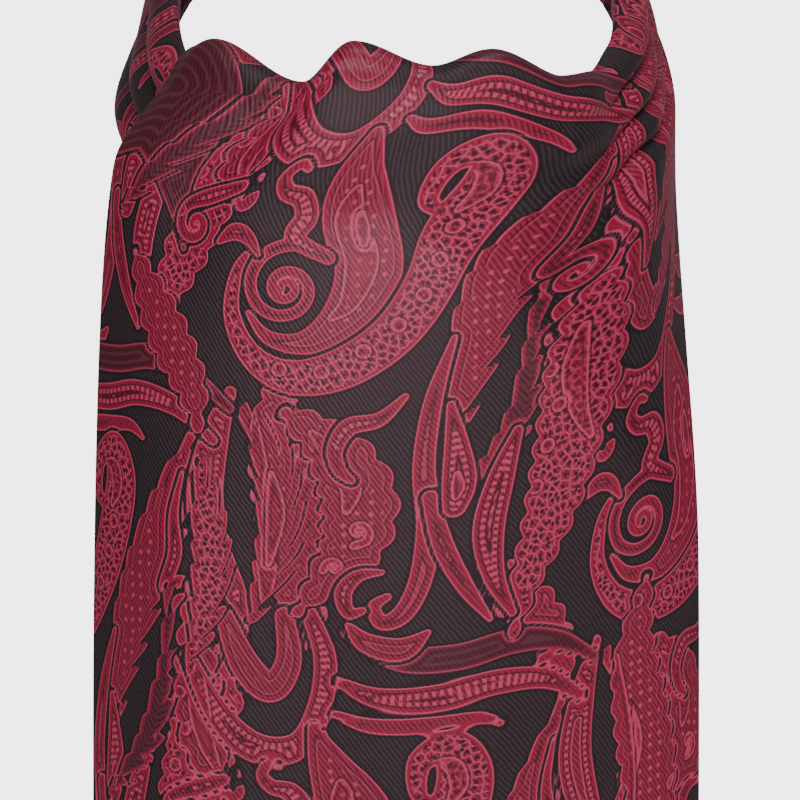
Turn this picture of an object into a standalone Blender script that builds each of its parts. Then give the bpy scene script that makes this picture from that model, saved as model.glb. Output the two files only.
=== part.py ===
"""A worn silk cravat: a pleated neckband, a crossing over the throat, and two pointed blades.

Metres, +Z up. The wearer faces -Y, and +X is on the right of someone who looks at the wearer.
The origin is the middle of the neck, level with the middle of the neckband at its sides.
Angles go round the neck in degrees: 0 at the throat, 90 at +X, 180 at the nape.
"""

import math
from collections import namedtuple

import bmesh
import bpy
from mathutils import Vector

# The cloth: two layers of silk with an interlining, folded under at the edges
WALL = 0.0018
CUT_WIDTH = 0.160
HALF_CUT = CUT_WIDTH / 2
SEAM_GAP = 0.0007
SILK_ROUGHNESS = 0.42
CRIMSON = (0.165, 0.030, 0.052)
SHADED_CRIMSON = (0.110, 0.022, 0.036)
DEEP_CRIMSON = (0.075, 0.018, 0.028)

# The neck that the band goes round, seen from above as a squared ellipse
NECK_HALF_WIDTH = 0.0547
NECK_HALF_DEPTH = 0.058
FRONT_SQUARENESS = 2.4
BACK_SQUARENESS = 3.1
SQUARENESS_SPAN = (80, 130)
NECK_SLOPE = 0.55
NAPE_RISE = 3.6

# The neckband is gathered into lengthwise ridges
RIDGES = 4
LEFT_RIDGES = 3
RIDGE_SHARPNESS = 0.7
RIDGE_WANDER = 0.12
WANDER_RATE = 3.1
UNEVENNESS = 0.2
UNEVEN_RATE = 5.3
UNEVEN_SLANT = 4
TAKE_UP = 0.62
HEM_FOLD = 0.0025
HEM_TURN = math.radians(110)
INNER_LIP = 0.004
BACK_SEAM = 128
RIGHT_SEAM = 100
LEFT_SEAM = -38

# The front blade: its drop from the roll to the point, and the form it hangs in
FRONT_DROP = 0.300
POINT_HEIGHT = 0.062
POINT_ROUNDING = 0.006
HANG_TOP = 0.004
SIDE_LIFT = 0.018
WRAP = math.radians(65)
RISER = 0.046
ROLL_ZONE = 0.012
SHOULDER_ZONE = 0.056
ROW_SHARES = (0.10, 0.26, 0.62)

# Its right part is the wing, which still goes round the neck as a gathered band
WING_SPAN = (38, 62)
WING_LIP = 0.012
WING_ROLL_SHARE = 0.6
CREST_TO_BAND_SPAN = (50, 72)

# The lengths of cloth over which it swings out from the neck to its fall
SWING = 0.046
LEFT_SWING = 0.030
LEFT_SWING_START = -0.02
WING_SWING_START = -0.004
WING_HOLD = 0.036
WING_SWING = 0.150

# The under blade comes out gathered below the crossing and then spreads
UNDER_DROP = 0.262
UNDER_TOP = 0.022
UNDER_SHIFT = -0.004
UNDER_SPREAD_SPAN = (0.034, 0.120)
UNDER_GATHERS = 6
UNDER_GATHER_DEPTH = 0.0010
UNDER_GATHER_SPAN = (0.010, 0.110)

CROSSING_RIDGES = 3

Band = namedtuple("Band", "angle height depth lean ripple inset")
BAND = (
    Band(0, 0.030, 0.0046, 0.05, 0.0010, 0.0030),
    Band(46, 0.031, 0.0052, 0.10, 0.0014, 0.0026),
    Band(64, 0.032, 0.0062, 0.28, 0.0038, 0.0002),
    Band(90, 0.032, 0.0064, 0.33, 0.0044, 0.0),
    Band(128, 0.030, 0.0064, 0.14, 0.0028, 0.0),
    Band(180, 0.027, 0.0060, 0.02, 0.0015, 0.0),
)

Crest = namedtuple("Crest", "across angle height roll")
CREST = (
    Crest(-0.0800, -47.5, 0.0040, 0.0056),
    Crest(-0.0735, -42.5, 0.0058, 0.0058),
    Crest(-0.0470, -20.6, -0.0042, 0.0068),
    Crest(-0.0320, -9.5, 0.0060, 0.0072),
    Crest(-0.0120, 8.4, -0.0001, 0.0070),
    Crest(0.0030, 21.2, 0.0039, 0.0068),
    Crest(0.0200, 38.0, -0.0032, 0.0058),
    Crest(0.0320, 50.0, -0.0026, 0.0050),
    Crest(0.0550, 72.0, 0.0070, 0.0046),
    Crest(0.0800, 100.0, 0.0200, 0.0045),
)

Fall = namedtuple("Fall", "drop forward half_width set_back")
FRONT_FALL = (
    Fall(0.000, -0.0740, 0.0640, 0.024),
    Fall(0.035, -0.0840, 0.0700, 0.026),
    Fall(0.070, -0.0890, 0.0725, 0.027),
    Fall(0.130, -0.0900, 0.0740, 0.026),
    Fall(0.200, -0.0865, 0.0745, 0.024),
    Fall(0.300, -0.0810, 0.0745, 0.021),
)
UNDER_FALL = (
    Fall(0.000, -0.0630, 0.0300, 0.0064),
    Fall(0.034, -0.0632, 0.0330, 0.0080),
    Fall(0.070, -0.0745, 0.0520, 0.0220),
    Fall(0.120, -0.0810, 0.0600, 0.0280),
    Fall(0.190, -0.0800, 0.0650, 0.0270),
    Fall(0.262, -0.0765, 0.0660, 0.0240),
)

# The stretch over the throat: full and gathered there, flat where it goes under the wing
Throat = namedtuple("Throat", "angle out height middle ripple")
CROSSING = (
    Throat(-36, 0.0088, 0.034, -0.002, 0.0026),
    Throat(16, 0.0088, 0.034, -0.002, 0.0026),
    Throat(48, 0.0032, 0.018, -0.006, 0.0),
)

# Soft creases drawn on the flat front blade, from one end to the other
Crease = namedtuple("Crease", "from_across from_along to_across to_along half_width height")
CREASES = (
    Crease(-0.042, 0.011, -0.017, 0.008, 0.0026, -0.0011),
    Crease(-0.006, 0.007, 0.016, 0.010, 0.0026, -0.0013),
    Crease(0.034, 0.015, 0.000, 0.014, 0.0034, -0.0012),
    Crease(0.034, 0.018, 0.000, 0.024, 0.0050, 0.0014),
    Crease(0.036, 0.020, 0.006, 0.046, 0.0050, -0.0014),
    Crease(0.042, 0.028, 0.028, 0.084, 0.0070, -0.0018),
    Crease(-0.062, 0.004, -0.071, 0.044, 0.0070, 0.0010),
    Crease(-0.047, 0.006, -0.052, 0.060, 0.0080, -0.0014),
    Crease(-0.052, 0.090, -0.046, 0.290, 0.0120, 0.0018),
    Crease(-0.020, 0.110, -0.010, 0.270, 0.0100, -0.0014),
    Crease(0.016, 0.080, 0.024, 0.280, 0.0130, 0.0018),
    Crease(0.050, 0.130, 0.052, 0.260, 0.0110, -0.0014),
)
CREASE_FADE_IN = (-0.15, 0.30)
CREASE_FADE_OUT = (0.55, 1.15)


def smooth(value, low, high):
    """0 at low and before it, 1 at high and past it, and a soft step between."""
    share = min(max((value - low) / (high - low), 0.0), 1.0)
    return share * share * (3 - 2 * share)


def softer(value, low, high):
    """The same, with a bend that comes and goes gently, so that cloth shows no edge there."""
    share = min(max((value - low) / (high - low), 0.0), 1.0)
    return share**3 * (share * (6 * share - 15) + 10)


def mix(first, second, share):
    return first + (second - first) * share


def span_of(rows, value):
    """The index of the row before value, and how far it is on towards the next row."""
    last = len(rows) - 2
    index = max(i for i in range(last + 1) if i == 0 or rows[i][0] <= value)
    share = (value - rows[index][0]) / (rows[index + 1][0] - rows[index][0])
    return index, min(max(share, 0.0), 1.0)


def eased(rows, column, value):
    """Reads a column with a level tangent at every row, as for crests and hollows."""
    index, share = span_of(rows, value)
    start, end = (getattr(row, column) for row in rows[index : index + 2])
    return mix(start, end, smooth(share, 0, 1))


def curved(rows, column, value):
    """Reads a column as one smooth curve through its rows."""
    index, share = span_of(rows, value)
    places = [row[0] for row in rows]
    values = [getattr(row, column) for row in rows]

    def tangent(i):
        low, high = max(i - 1, 0), min(i + 1, len(rows) - 1)
        return (values[high] - values[low]) / (places[high] - places[low])

    step = places[index + 1] - places[index]
    square, cube = share**2, share**3
    return (
        (2 * cube - 3 * square + 1) * values[index]
        + (cube - 2 * square + share) * step * tangent(index)
        + (3 * square - 2 * cube) * values[index + 1]
        + (cube - square) * step * tangent(index + 1)
    )


def neck(angle):
    """The neck's surface at an angle, seen from above, and its outward direction there."""
    turn = math.radians(angle)
    power = mix(FRONT_SQUARENESS, BACK_SQUARENESS, smooth(abs(angle), *SQUARENESS_SPAN))
    sides = abs(math.sin(turn)) / NECK_HALF_WIDTH
    depth = abs(math.cos(turn)) / NECK_HALF_DEPTH
    reach = (sides**power + depth**power) ** (-1 / power)
    place = Vector((reach * math.sin(turn), -reach * math.cos(turn), 0))
    outward = Vector((0, 0, 0))
    for axis, half in enumerate((NECK_HALF_WIDTH, NECK_HALF_DEPTH)):
        steepness = (abs(place[axis]) / half) ** (power - 1) / half
        outward[axis] = math.copysign(steepness, place[axis])
    return place, outward.normalized()


def stand(angle, out, up):
    """A point at this angle, this far out from the neck and at this height."""
    place, outward = neck(angle)
    return place + outward * out + Vector((0, 0, up))


def band_middle(angle):
    """The height of the neckband's middle line, which climbs faster towards the nape."""
    back = neck(angle)[0].y
    return back * NECK_SLOPE + NAPE_RISE * max(back, 0) ** 2


def band_top(angle):
    height = curved(BAND, "height", abs(angle))
    return band_middle(angle) + height / 2


def over_fold(along, fold):
    """A sheet that goes up, over a fold of this radius and down: how far out and up it is."""
    quarter = fold * math.pi / 2
    if along < -quarter:
        return 0.0, along + quarter - fold
    if along < quarter:
        turn = along / fold
        return fold * (1 + math.sin(turn)), fold * (math.cos(turn) - 1)
    return 2 * fold, quarter - along - fold


def band_length(angle):
    """The cloth from the neckband's top fold down to where its lower hem starts to turn."""
    fold = curved(BAND, "depth", abs(angle)) / 2
    face = curved(BAND, "height", abs(angle)) - fold - HEM_FOLD
    return fold * math.pi / 2 + face / TAKE_UP


def band_section(angle, along, top=None):
    """Out and up for a point of the gathered neckband: lip, top fold, ridged face and hem."""
    place = abs(angle)
    height = curved(BAND, "height", place)
    fold = curved(BAND, "depth", place) / 2
    quarter = fold * math.pi / 2
    top = band_top(angle) if top is None else top
    if along < quarter:
        out, down = over_fold(along, fold)
    elif along < band_length(angle):
        out, down = 2 * fold, (quarter - along) * TAKE_UP - fold
    else:
        turn = (along - band_length(angle)) / HEM_FOLD
        out = 2 * fold - HEM_FOLD * (1 - math.cos(turn))
        down = HEM_FOLD - height - HEM_FOLD * math.sin(turn)
    level = -down / height
    ridges = LEFT_RIDGES if -BACK_SEAM < angle < 0 else RIDGES
    outer = out / (2 * fold)
    wander = RIDGE_WANDER * math.sin(math.radians(WANDER_RATE * angle)) * level
    uneven = 1 + UNEVENNESS * math.sin(math.radians(UNEVEN_RATE * angle) + UNEVEN_SLANT * level)
    ridge = abs(math.sin(math.pi * (ridges * level + wander))) ** RIDGE_SHARPNESS
    out += outer * curved(BAND, "lean", place) * (level - 0.5) * height
    out += outer * curved(BAND, "ripple", place) * uneven * ridge
    inset = curved(BAND, "inset", place) if angle < 0 else 0.0
    return WALL / 2 + inset + out, top + down


def hang(rows, across, along):
    """A point of a blade that hangs in front of the chest, bowed from side to side."""
    turn = across / HALF_CUT * WRAP
    bow = (1 - math.cos(turn)) / (1 - math.cos(WRAP))
    x = curved(rows, "half_width", along) * math.sin(turn) / math.sin(WRAP)
    y = curved(rows, "forward", along) + curved(rows, "set_back", along) * bow
    return Vector((x, y, HANG_TOP - along))


def crease_height(across, along):
    """How far the soft creases lift or sink this point of the front blade."""
    total = 0.0
    for crease in CREASES:
        run_across = crease.to_across - crease.from_across
        run_along = crease.to_along - crease.from_along
        near_across = across - crease.from_across
        near_along = along - crease.from_along
        length = math.hypot(run_across, run_along)
        share = (near_across * run_across + near_along * run_along) / length**2
        aside = (near_across * run_along - near_along * run_across) / length
        taper = smooth(share, *CREASE_FADE_IN) * (1 - smooth(share, *CREASE_FADE_OUT))
        total += crease.height * taper * math.exp(-((aside / crease.half_width) ** 2))
    return total


def crest_height(across):
    """The roll's height: rounded humps over the throat, then the neckband's own top."""
    angle = curved(CREST, "angle", across)
    share = smooth(angle, *CREST_TO_BAND_SPAN)
    return mix(eased(CREST, "height", across), band_top(angle), share)


def front_blade_point(across, along):
    """The front blade: up behind the crossing, over the roll and down to the point."""
    angle = curved(CREST, "angle", across)
    wing = smooth(angle, *WING_SPAN)
    out, down = over_fold(along, eased(CREST, "roll", across))
    out += WALL / 2
    top = crest_height(across)
    up = top + down
    if wing:
        band_out, band_up = band_section(angle, min(along, band_length(angle)), top)
        band_up -= max(along - band_length(angle), 0)
        out, up = mix(out, band_out, wing), mix(up, band_up, wing)
    near = stand(angle, out, up)
    swing = mix(SWING, LEFT_SWING, smooth(across, LEFT_SWING_START, -HALF_CUT))
    swing = mix(swing, WING_SWING, smooth(across, WING_SWING_START, HALF_CUT))
    share = softer(along, WING_HOLD * wing, swing)
    point = near.lerp(hang(FRONT_FALL, across, along), share)
    point.z += SIDE_LIFT * share * smooth(across, 0, HALF_CUT)
    return point + neck(angle)[1] * crease_height(across, along)


def pointed_end(drop, across):
    """How far along the cloth its pointed end is."""
    return drop + POINT_ROUNDING - math.hypot(POINT_HEIGHT * across / HALF_CUT, POINT_ROUNDING)


def finish(mesh_object, colour, collection):
    """Gives a sheet its wall, its smooth shading and its own silk, and files it."""
    solidify = mesh_object.modifiers.new("Wall", "SOLIDIFY")
    solidify.thickness = WALL
    solidify.offset = 0.0
    material = bpy.data.materials.new(mesh_object.name + "_silk")
    material.use_nodes = True
    shader = material.node_tree.nodes["Principled BSDF"]
    shader.inputs["Base Color"].default_value = (*colour, 1.0)
    shader.inputs["Roughness"].default_value = SILK_ROUGHNESS
    shader.inputs["Metallic"].default_value = 0.0
    mesh_object.data.materials.append(material)
    mesh_object.data.shade_smooth()
    collection.objects.link(mesh_object)


def sheet(name, across_steps, along_steps, place, colour, collection):
    """A sheet of cloth: a grid whose points go where place(across, along) says, both 0 to 1."""
    grid = bmesh.new()
    bmesh.ops.create_grid(grid, x_segments=across_steps, y_segments=along_steps, size=0.5)
    for vertex in grid.verts:
        vertex.co = place(vertex.co.x + 0.5, vertex.co.y + 0.5)
    mesh = bpy.data.meshes.new(name)
    grid.to_mesh(mesh)
    grid.free()
    finish(bpy.data.objects.new(name, mesh), colour, collection)


def front_blade_place(across_share, along_share):
    """Spreads the front blade's rows: few on the riser and the fall, most on the shoulder."""
    across = mix(-HALF_CUT, HALF_CUT, across_share)
    wing = smooth(curved(CREST, "angle", across), *WING_SPAN)
    stretches = (
        (0.0, -mix(RISER + crest_height(across), WING_LIP, wing)),
        (ROW_SHARES[0], -ROLL_ZONE * mix(1, WING_ROLL_SHARE, wing)),
        (ROW_SHARES[1], ROLL_ZONE),
        (ROW_SHARES[2], SHOULDER_ZONE),
        (1.0, pointed_end(FRONT_DROP, across)),
    )
    index, share = span_of(stretches, along_share)
    along = mix(stretches[index][1], stretches[index + 1][1], share)
    return front_blade_point(across, along)


def band_place(start, end):
    """Places the neckband between two angles, measured on past 180 where it crosses the nape."""

    def place(across_share, along_share):
        angle = mix(start, end, across_share)
        folded = angle - 360 if angle > 180 else angle
        fold = curved(BAND, "depth", abs(folded)) / 2
        first = -fold * math.pi / 2 - INNER_LIP
        last = band_length(folded) + HEM_FOLD * HEM_TURN
        return stand(folded, *band_section(folded, mix(first, last, along_share)))

    return place


def crossing_place(across_share, along_share):
    """Places the stretch over the throat: three ridges from its top edge to its lower edge."""
    angle = mix(CROSSING[0].angle, CROSSING[-1].angle, across_share)
    ridge = abs(math.sin(math.pi * CROSSING_RIDGES * along_share)) ** RIDGE_SHARPNESS
    belly = math.sin(math.pi * along_share)
    out = eased(CROSSING, "out", angle) + eased(CROSSING, "ripple", angle) * ridge * belly
    middle = band_middle(angle) + eased(CROSSING, "middle", angle)
    return stand(angle, out, middle + eased(CROSSING, "height", angle) * (0.5 - along_share))


def under_blade_place(across_share, along_share):
    """The other end: gathered under the crossing, then spread behind the front blade."""
    across = mix(-HALF_CUT, HALF_CUT, across_share)
    along = along_share * pointed_end(UNDER_DROP, across)
    point = hang(UNDER_FALL, across, along)
    gather = 1 - smooth(along, *UNDER_GATHER_SPAN)
    point.y += UNDER_GATHER_DEPTH * gather * math.cos(across_share * math.tau * UNDER_GATHERS)
    spread = smooth(along, *UNDER_SPREAD_SPAN)
    return point + Vector((UNDER_SHIFT * spread, 0, -UNDER_TOP))


def build():
    for old in list(bpy.data.objects):
        bpy.data.objects.remove(old, do_unlink=True)
    collection = bpy.data.collections.new("silk_cravat")
    bpy.context.scene.collection.children.link(collection)
    sheet("front_blade", 38, 44, front_blade_place, CRIMSON, collection)
    sheet("under_blade", 24, 22, under_blade_place, DEEP_CRIMSON, collection)
    sheet("crossing", 20, 12, crossing_place, DEEP_CRIMSON, collection)
    seam = math.degrees(SEAM_GAP / NECK_HALF_WIDTH)
    right_band = band_place(RIGHT_SEAM + seam, BACK_SEAM)
    back_band = band_place(BACK_SEAM + seam, 360 - BACK_SEAM - seam)
    left_band = band_place(360 - BACK_SEAM, 360 + LEFT_SEAM)
    sheet("neckband_right", 8, 26, right_band, SHADED_CRIMSON, collection)
    sheet("neckband_back", 14, 26, back_band, CRIMSON, collection)
    sheet("neckband_left", 14, 26, left_band, SHADED_CRIMSON, collection)


build()
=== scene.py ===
# %% [markdown]
# A cravat is one long length of patterned silk. Its middle is gathered into a band that goes round the
# neck, and its two broad ends hang in front, one over the other. This script dresses the plain solids of
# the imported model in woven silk. It starts from the model, so that every piece lands where its solid is.

import math
from collections import namedtuple

import bpy
import numpy as np
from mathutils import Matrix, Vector


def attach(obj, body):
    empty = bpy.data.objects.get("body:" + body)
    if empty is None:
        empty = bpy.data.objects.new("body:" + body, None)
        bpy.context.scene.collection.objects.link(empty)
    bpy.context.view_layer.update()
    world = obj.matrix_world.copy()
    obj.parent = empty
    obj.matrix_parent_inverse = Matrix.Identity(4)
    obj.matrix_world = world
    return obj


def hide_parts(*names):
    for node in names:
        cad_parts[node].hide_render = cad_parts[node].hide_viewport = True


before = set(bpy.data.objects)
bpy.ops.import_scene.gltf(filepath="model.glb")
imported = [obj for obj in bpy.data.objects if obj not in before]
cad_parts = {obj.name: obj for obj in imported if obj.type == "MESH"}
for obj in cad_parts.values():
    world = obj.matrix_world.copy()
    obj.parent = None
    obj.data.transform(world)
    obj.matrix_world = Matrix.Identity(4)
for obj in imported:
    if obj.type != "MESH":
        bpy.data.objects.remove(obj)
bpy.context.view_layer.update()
bpy.ops.object.select_all(action="DESELECT")

# %% [markdown]
# The camera comes first. It is level with the front of the cravat, a little above it, and far away
# behind a long lens, so that the cloth is seen almost without perspective, as in a close catalogue
# photograph.

# %% Place the camera
SIGHT = Vector((0.00098, -0.088, -0.080))
CAMERA_RISE = math.radians(5)
CAMERA_DISTANCE = 2.0
FRAME_WIDTH = 0.1951

away = Vector((0, -math.cos(CAMERA_RISE), math.sin(CAMERA_RISE)))
bpy.ops.object.camera_add(
    location=SIGHT + away * CAMERA_DISTANCE, rotation=(math.pi / 2 - CAMERA_RISE, 0, 0)
)
camera = bpy.context.object
camera.data.sensor_width = 36
camera.data.lens = camera.data.sensor_width * CAMERA_DISTANCE / FRAME_WIDTH
bpy.context.scene.camera = camera
print("lens in mm:", round(camera.data.lens, 1))

# %% [markdown]
# Worn cloth has few straight lines, so its form is kept in short tables: a row says how the cloth stands
# at one place, and a curve is read through the rows. Two ways of reading are enough. One is level at every
# row, as crests and hollows are, and the other runs on smoothly through them. Both work on whole arrays,
# because a sheet has tens of thousands of points.


# %% Read a value from a table
def smooth(value, low, high):
    """0 up to low, 1 from high on, and a soft step between."""
    share = np.clip((value - low) / (high - low), 0.0, 1.0)
    return share * share * (3 - 2 * share)


def softer(value, low, high):
    """The same, with a bend that comes and goes gently, so that cloth shows no edge there."""
    share = np.clip((value - low) / (high - low), 0.0, 1.0)
    return share**3 * (share * (6 * share - 15) + 10)


def mix(first, second, share):
    return first + (second - first) * share


def table(rows, column, value):
    """The table's places and values, the row before each value, and how far it is on to the next."""
    places = np.array([row[0] for row in rows])
    values = np.array([getattr(row, column) for row in rows])
    index = np.clip(np.searchsorted(places, value, side="right") - 1, 0, len(rows) - 2)
    step = places[index + 1] - places[index]
    return places, values, index, np.clip((value - places[index]) / step, 0, 1), step


def eased(rows, column, value):
    places, values, index, share, step = table(rows, column, value)
    return mix(values[index], values[index + 1], smooth(share, 0, 1))


def curved(rows, column, value):
    places, values, index, share, step = table(rows, column, value)
    last = len(rows) - 1
    low, high = np.clip(np.arange(last + 1) - 1, 0, last), np.clip(np.arange(last + 1) + 1, 0, last)
    slope = (values[high] - values[low]) / (places[high] - places[low])
    square, cube = share**2, share**3
    return (
        (2 * cube - 3 * square + 1) * values[index]
        + (cube - 2 * square + share) * step * slope[index]
        + (3 * square - 2 * cube) * values[index + 1]
        + (cube - square) * step * slope[index + 1]
    )


print("half way up a soft step:", smooth(0.5, 0, 1))

# %% [markdown]
# The neck is the form that the band is wrapped on. Seen from above it is an ellipse with its corners
# pushed out, flatter at the nape than at the throat, and the band climbs from the throat to the nape.
# Angles go round it in degrees: 0 at the throat, 90 at +X, 180 at the nape.

# %% The neck, and how the band stands on it
NECK_HALF_WIDTH = 0.0547
NECK_HALF_DEPTH = 0.058
FRONT_SQUARENESS = 2.4
BACK_SQUARENESS = 3.1
NECK_SLOPE = 0.55
NAPE_RISE = 3.6

Band = namedtuple("Band", "angle height depth lean ripple inset")
BAND = (
    Band(0, 0.030, 0.0046, 0.05, 0.0010, 0.0030),
    Band(46, 0.031, 0.0052, 0.10, 0.0014, 0.0026),
    Band(64, 0.032, 0.0062, 0.28, 0.0038, 0.0002),
    Band(90, 0.032, 0.0064, 0.33, 0.0044, 0.0),
    Band(128, 0.030, 0.0064, 0.14, 0.0028, 0.0),
    Band(180, 0.027, 0.0060, 0.02, 0.0015, 0.0),
)


def neck(angle):
    """Where the neck's surface is at each angle, and which way is out: two arrays of x, y, z."""
    turn = np.radians(angle)
    power = mix(FRONT_SQUARENESS, BACK_SQUARENESS, smooth(np.abs(angle), 80, 130))
    sides = np.abs(np.sin(turn)) / NECK_HALF_WIDTH
    depth = np.abs(np.cos(turn)) / NECK_HALF_DEPTH
    reach = (sides**power + depth**power) ** (-1 / power)
    x, y = reach * np.sin(turn), -reach * np.cos(turn)
    out_x = np.sign(x) * (np.abs(x) / NECK_HALF_WIDTH) ** (power - 1) / NECK_HALF_WIDTH
    out_y = np.sign(y) * (np.abs(y) / NECK_HALF_DEPTH) ** (power - 1) / NECK_HALF_DEPTH
    length = np.hypot(out_x, out_y)
    level = np.zeros_like(x)
    return np.stack([x, y, level], -1), np.stack([out_x / length, out_y / length, level], -1)


def stand(angle, out, up):
    """Points at these angles, this far out from the neck and at these heights."""
    place, outward = neck(angle)
    return place + outward * out[..., None] + np.stack([0 * up, 0 * up, up], -1)


def band_middle(angle):
    back = neck(angle)[0][..., 1]
    return back * NECK_SLOPE + NAPE_RISE * np.maximum(back, 0) ** 2


def band_top(angle):
    return band_middle(angle) + curved(BAND, "height", np.abs(angle)) / 2


print("nape's top edge in mm:", round(1000 * float(band_top(np.array(180.0))), 1))

# %% [markdown]
# The band is 160 mm of cloth gathered into a strip about 30 mm high. A tailor runs it into lengthwise
# pleats; worn, they open into soft ridges. Its section is drawn once and carried round the neck: up the
# inside, over the top fold, down the ridged face and under at the hem.

# %% The neckband's section
WALL = 0.0018
RIDGES = 4
LEFT_RIDGES = 3
RIDGE_SHARPNESS = 0.7
TAKE_UP = 0.62
HEM_FOLD = 0.0025
HEM_TURN = math.radians(110)
INNER_LIP = 0.004
BACK_SEAM = 128
RIGHT_SEAM = 100
LEFT_SEAM = -38


def over_fold(along, fold):
    """A sheet that goes up, over a fold of this radius and down: how far out and up it is."""
    quarter = fold * math.pi / 2
    turn = np.clip(along / fold, -math.pi / 2, math.pi / 2)
    past = np.clip(np.abs(along) - quarter, 0, None)
    return fold * (1 + np.sin(turn)), fold * (np.cos(turn) - 1) - past


def band_length(angle):
    """The cloth from the top fold down to where the lower hem starts to turn."""
    fold = curved(BAND, "depth", np.abs(angle)) / 2
    face = curved(BAND, "height", np.abs(angle)) - fold - HEM_FOLD
    return fold * math.pi / 2 + face / TAKE_UP


def band_section(angle, along, top):
    """Out and up for points of the gathered band."""
    place = np.abs(angle)
    height = curved(BAND, "height", place)
    fold = curved(BAND, "depth", place) / 2
    quarter = fold * math.pi / 2
    length = band_length(angle)
    out, down = over_fold(np.minimum(along, quarter), fold)
    down = np.where(along > quarter, (quarter - along) * TAKE_UP - fold, down)
    turn = np.clip((along - length) / HEM_FOLD, 0, HEM_TURN)
    out = np.where(along > length, 2 * fold - HEM_FOLD * (1 - np.cos(turn)), out)
    down = np.where(along > length, HEM_FOLD - height - HEM_FOLD * np.sin(turn), down)
    level = -down / height
    ridges = np.where((angle > -BACK_SEAM) & (angle < 0), LEFT_RIDGES, RIDGES)
    outer = out / (2 * fold)
    wander = 0.12 * np.sin(np.radians(3.1 * angle)) * level
    uneven = 1 + 0.2 * np.sin(np.radians(5.3 * angle) + 4 * level)
    ridge = np.abs(np.sin(math.pi * (ridges * level + wander))) ** RIDGE_SHARPNESS
    out = out + outer * curved(BAND, "lean", place) * (level - 0.5) * height
    out = out + outer * curved(BAND, "ripple", place) * uneven * ridge
    inset = np.where(angle < 0, curved(BAND, "inset", place), 0.0)
    return WALL / 2 + inset + out, top + down


print("cloth in the band at the side of the neck, mm:", round(1000 * float(band_length(np.array(90.0))), 1))

# %% [markdown]
# The front blade is the broad end. It comes up behind the crossing, rolls over it in three soft humps and
# falls, puffed out, to a point. Its right part is still gathered round the neck. So each point is worked
# out twice, once as cloth round the neck and once as cloth that hangs, and the two are blended.

# %% The front blade's form
HALF_CUT = 0.080
FRONT_DROP = 0.300
POINT_HEIGHT = 0.062
POINT_ROUNDING = 0.006
HANG_TOP = 0.004
SIDE_LIFT = 0.018
WRAP = math.radians(65)
RISER = 0.046
WING_LIP = 0.012

Crest = namedtuple("Crest", "across angle height roll")
CREST = (
    Crest(-0.0800, -47.5, 0.0040, 0.0056),
    Crest(-0.0735, -42.5, 0.0058, 0.0058),
    Crest(-0.0470, -20.6, -0.0042, 0.0068),
    Crest(-0.0320, -9.5, 0.0060, 0.0072),
    Crest(-0.0120, 8.4, -0.0001, 0.0070),
    Crest(0.0030, 21.2, 0.0039, 0.0068),
    Crest(0.0200, 38.0, -0.0032, 0.0058),
    Crest(0.0320, 50.0, -0.0026, 0.0050),
    Crest(0.0550, 72.0, 0.0070, 0.0046),
    Crest(0.0800, 100.0, 0.0200, 0.0045),
)

Fall = namedtuple("Fall", "drop forward half_width set_back")
FRONT_FALL = (
    Fall(0.000, -0.0740, 0.0640, 0.024),
    Fall(0.035, -0.0840, 0.0700, 0.026),
    Fall(0.070, -0.0890, 0.0725, 0.027),
    Fall(0.130, -0.0900, 0.0740, 0.026),
    Fall(0.200, -0.0865, 0.0745, 0.024),
    Fall(0.300, -0.0810, 0.0745, 0.021),
)

Crease = namedtuple("Crease", "from_across from_along to_across to_along half_width height")
CREASES = (
    Crease(-0.042, 0.011, -0.017, 0.008, 0.0026, -0.0011),
    Crease(-0.006, 0.007, 0.016, 0.010, 0.0026, -0.0013),
    Crease(0.034, 0.015, 0.000, 0.014, 0.0034, -0.0012),
    Crease(0.034, 0.018, 0.000, 0.024, 0.0050, 0.0014),
    Crease(0.036, 0.020, 0.006, 0.046, 0.0050, -0.0014),
    Crease(0.042, 0.028, 0.028, 0.084, 0.0070, -0.0018),
    Crease(-0.062, 0.004, -0.071, 0.044, 0.0070, 0.0010),
    Crease(-0.047, 0.006, -0.052, 0.060, 0.0080, -0.0014),
    Crease(-0.052, 0.090, -0.046, 0.290, 0.0120, 0.0018),
    Crease(-0.020, 0.110, -0.010, 0.270, 0.0100, -0.0014),
    Crease(0.016, 0.080, 0.024, 0.280, 0.0130, 0.0018),
    Crease(0.050, 0.130, 0.052, 0.260, 0.0110, -0.0014),
)


def hang(rows, across, along):
    """Points of a blade that hangs in front of the chest, bowed from side to side."""
    turn = across / HALF_CUT * WRAP
    bow = (1 - np.cos(turn)) / (1 - math.cos(WRAP))
    x = curved(rows, "half_width", along) * np.sin(turn) / math.sin(WRAP)
    y = curved(rows, "forward", along) + curved(rows, "set_back", along) * bow
    return np.stack([x, y, HANG_TOP - along], -1)


def crease_height(across, along, creases):
    total = np.zeros_like(across)
    for crease in creases:
        run_across = crease.to_across - crease.from_across
        run_along = crease.to_along - crease.from_along
        near_across = across - crease.from_across
        near_along = along - crease.from_along
        length = math.hypot(run_across, run_along)
        share = (near_across * run_across + near_along * run_along) / length**2
        aside = (near_across * run_along - near_along * run_across) / length
        taper = smooth(share, -0.15, 0.3) * (1 - smooth(share, 0.55, 1.15))
        total += crease.height * taper * np.exp(-((aside / crease.half_width) ** 2))
    return total


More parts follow.
